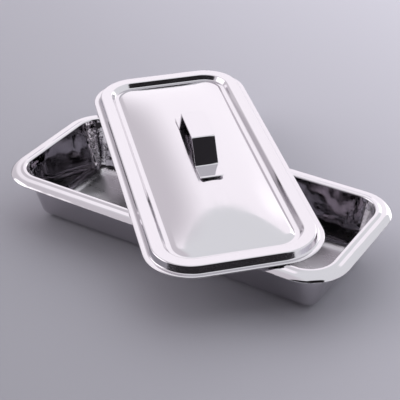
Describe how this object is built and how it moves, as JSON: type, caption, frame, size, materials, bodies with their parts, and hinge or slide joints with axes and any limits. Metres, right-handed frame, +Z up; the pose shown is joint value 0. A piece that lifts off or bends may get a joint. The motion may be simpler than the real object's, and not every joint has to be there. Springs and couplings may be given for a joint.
{
  "type": "covered instrument tray",
  "caption": "Shallow drawn stainless instrument tray with a rolled rim, and a domed lid with a welded strap handle lying across it.",
  "frame": {"origin": "centre of the tray's base, on its underside", "axes": "+X along the tray's length, +Y across it, +Z up out of the tray"},
  "size_m": [0.2209, 0.2014, 0.0581],
  "materials": {
    "tray_steel": "mirror-polished drawn stainless steel",
    "lid_steel": "mirror-polished drawn stainless steel, softly clouded on the panel",
    "strap_steel": "polished stainless steel strip with rounded edges",
    "weld_steel": "plain stainless steel, as left by the spot welder"
  },
  "bodies": {
    "tray": {"tray_pan": "tray_steel"},
    "lid": {"lid_cover": "lid_steel", "strap_handle": "strap_steel", "spot_welds": "weld_steel"}
  },
  "joints": [
    {"name": "lid_lift", "type": "slide", "parent": "tray", "child": "lid", "axis": [0, 0, 1], "range_m": [0, 0.12]}
  ]
}
